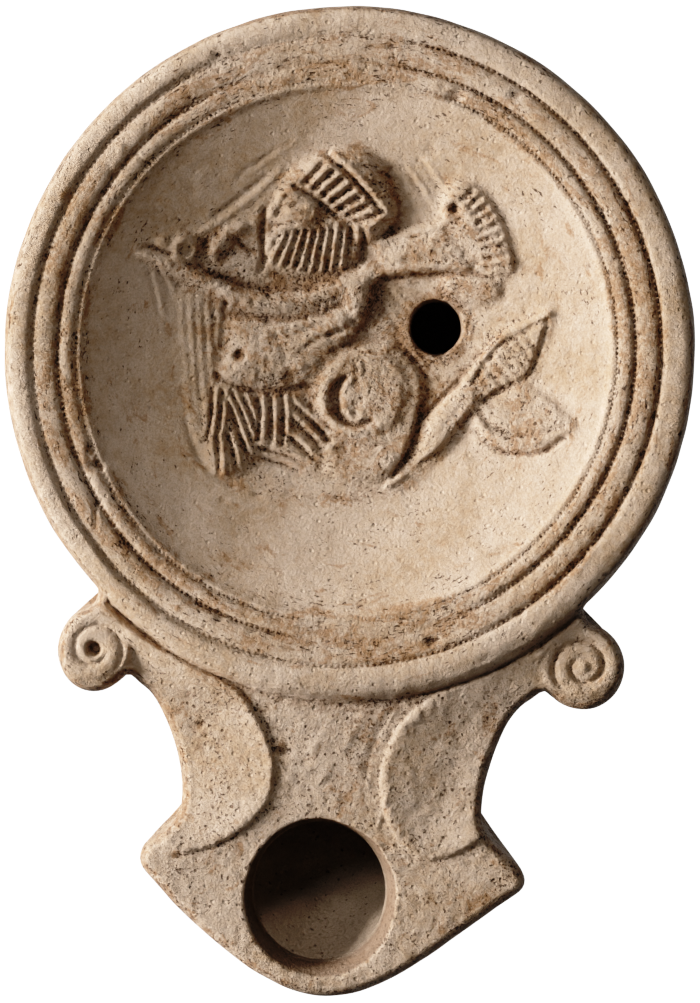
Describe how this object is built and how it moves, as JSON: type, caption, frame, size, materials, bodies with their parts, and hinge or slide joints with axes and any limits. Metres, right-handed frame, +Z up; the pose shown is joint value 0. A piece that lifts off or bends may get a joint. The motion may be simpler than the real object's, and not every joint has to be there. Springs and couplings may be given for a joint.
{
  "type": "roman oil lamp",
  "caption": "Mould-made round clay oil lamp with a ringed rim, a sunk relief discus, an angular nozzle flanked by volutes, and holes for oil and wick.",
  "frame": {"origin": "middle of the flat base disc, on the underside, straight below the middle of the round body", "axes": "+Z up out of the discus, +Y to the back of the lamp, away from the nozzle, +X to the right seen from above with the nozzle at the bottom"},
  "size_m": [0.074, 0.1058, 0.0264],
  "materials": {
    "fired_clay": "unglazed buff clay with worn brown slip and soil in the grooves"
  },
  "bodies": {
    "root": {"lamp_body": "fired_clay"}
  },
  "joints": []
}
